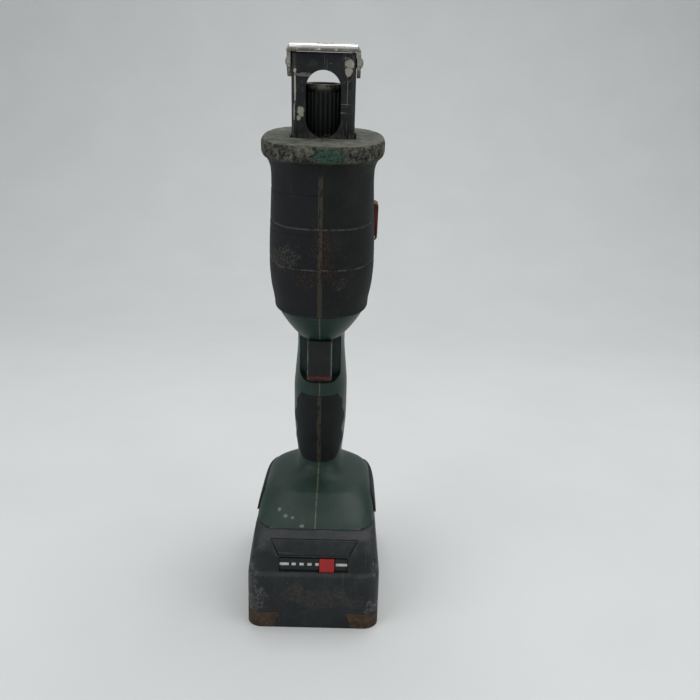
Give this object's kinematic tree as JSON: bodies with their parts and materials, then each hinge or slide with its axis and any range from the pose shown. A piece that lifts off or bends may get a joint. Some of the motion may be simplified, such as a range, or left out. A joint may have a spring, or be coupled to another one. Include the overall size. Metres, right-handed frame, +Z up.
{
  "type": "reciprocating saw",
  "caption": "Cordless reciprocating saw with a moulded two-part housing, rubber head sleeve, tilting shoe, quick blade clamp, trigger and slide-on battery pack",
  "frame": {"origin": "middle of the battery pack's flat base, on the plane the tool stands on", "axes": "+Z up along the standing tool, -Y to the trigger side that faces the camera, +X to the shoe lock lever's side"},
  "size_m": [0.079, 0.12, 0.3368],
  "materials": {
    "housing_green": "satin moulded plastic",
    "rubber_black": "matt moulded rubber, worn and dusty",
    "trigger_black": "smooth plastic",
    "trigger_red": "smooth plastic",
    "lever_red": "satin plastic",
    "bracket_black": "black paint over folded steel, chipped",
    "chrome_shoe": "plated sheet steel, scratched",
    "rivet_steel": "riveted steel",
    "clamp_black": "dark oxide finish, dusty",
    "steel": "machined",
    "spring_steel": "drawn wire",
    "gear_steel": "hardened",
    "aluminium": "die cast",
    "bronze": "sintered",
    "seal_rubber": "moulded",
    "copper": "wound copper",
    "fan_white": "moulded",
    "switch_grey": "moulded",
    "pcb_green": "coated board",
    "battery_black": "satin moulded plastic, scuffed",
    "bumper_brown": "moulded rubber, dirty",
    "display_black": "printed film",
    "charge_red": "smooth plastic",
    "cell_wrap": "shrink wrap over steel",
    "frame_grey": "moulded"
  },
  "bodies": {
    "housing": {"left_housing_shell": "housing_green", "right_housing_shell": "housing_green", "left_head_sleeve": "rubber_black", "right_head_sleeve": "rubber_black", "left_grip_pad": "rubber_black", "right_grip_pad": "rubber_black", "left_rear_pad": "rubber_black", "right_rear_pad": "rubber_black", "foot_side_pads": "rubber_black", "housing_screws": "steel", "trigger_spring": "spring_steel", "trigger_switch": "switch_grey", "control_board": "pcb_green", "lever_pin": "steel", "shoe_clamp_plate": "gear_steel", "front_bushing": "bronze", "dust_seal": "seal_rubber", "gear_case": "aluminium", "gear_case_cover": "aluminium", "crank_bearings": "steel", "motor_can": "gear_steel", "motor_stator": "copper", "front_motor_bearing": "steel", "rear_motor_bearing": "steel", "battery_slideway": "switch_grey", "terminal_block": "frame_grey"},
    "trigger": {"trigger": "trigger_black", "trigger_toe": "trigger_red"},
    "lock_lever": {"shoe_lock_lever": "lever_red"},
    "bracket": {"shoe_bracket": "bracket_black", "shoe_rivets": "rivet_steel"},
    "shoe": {"shoe_plate": "chrome_shoe"},
    "plunger": {"plunger": "steel", "scotch_yoke": "gear_steel", "blade_clamp_core": "gear_steel", "blade_clamp_spring": "spring_steel"},
    "clamp_sleeve": {"blade_clamp_sleeve": "clamp_black"},
    "motor": {"motor_rotor": "gear_steel", "motor_pinion": "gear_steel", "motor_fan": "fan_white"},
    "crank": {"crank_gear": "gear_steel", "crank_roller": "steel"},
    "battery": {"battery_case": "battery_black", "battery_tray": "battery_black", "battery_corner_bumpers": "bumper_brown", "battery_cells": "cell_wrap", "cell_frames": "frame_grey", "battery_contacts": "copper", "battery_board": "pcb_green", "charge_display": "display_black", "release_springs": "spring_steel"},
    "release": {"release_button": "battery_black"},
    "charge": {"charge_button": "charge_red"}
  },
  "joints": [
    {"name": "plunger_stroke", "type": "slide", "parent": "housing", "child": "plunger", "axis": [0, -0.1908, 0.9816], "range_m": [-0.008, 0.008]},
    {"name": "sleeve_twist", "type": "hinge", "parent": "plunger", "child": "clamp_sleeve", "pos_m": [0, -0.02125, 0.29997], "axis": [0, -0.1908, 0.9816], "range_deg": [0, 40], "stiffness_Nm_per_rad": 0.2, "springref_deg": -11.46},
    {"name": "shoe_depth", "type": "slide", "parent": "housing", "child": "bracket", "axis": [0, -0.1908, 0.9816], "range_m": [0, 0.016]},
    {"name": "shoe_tilt", "type": "hinge", "parent": "bracket", "child": "shoe", "pos_m": [0, -0.03088, 0.32331], "axis": [-1, 0, 0], "range_deg": [0, 34]},
    {"name": "trigger_pull", "type": "slide", "parent": "housing", "child": "trigger", "axis": [0, 0.9816, 0.1908], "range_m": [0, 0.006], "stiffness_N_per_m": 700, "springref_m": -0.003},
    {"name": "lever_swing", "type": "hinge", "parent": "housing", "child": "lock_lever", "pos_m": [0.0299, -0.00588, 0.2314], "axis": [0, 0.9816, 0.1908], "range_deg": [0, 75]},
    {"name": "motor_spin", "type": "hinge", "parent": "housing", "child": "motor", "pos_m": [0, -0.00274, 0.20475], "axis": [0, -0.1908, 0.9816], "continuous": true},
    {"name": "crank_spin", "type": "hinge", "parent": "housing", "child": "crank", "pos_m": [0, -0.011, 0.24721], "axis": [0, 0.9816, 0.1908], "continuous": true},
    {"name": "battery_slide", "type": "slide", "parent": "housing", "child": "battery", "axis": [0, -1, 0], "range_m": [0, 0.09]},
    {"name": "release_press", "type": "slide", "parent": "battery", "child": "release", "axis": [0, 1, 0], "range_m": [0, 0.0025], "stiffness_N_per_m": 900, "springref_m": -0.0015},
    {"name": "charge_press", "type": "slide", "parent": "battery", "child": "charge", "axis": [0, 1, 0], "range_m": [0, 0.0008], "stiffness_N_per_m": 900, "springref_m": -0.0006}
  ],
  "couplings": [
    {"joint": "crank_spin", "follows": "motor_spin", "ratio": 0.25}
  ]
}
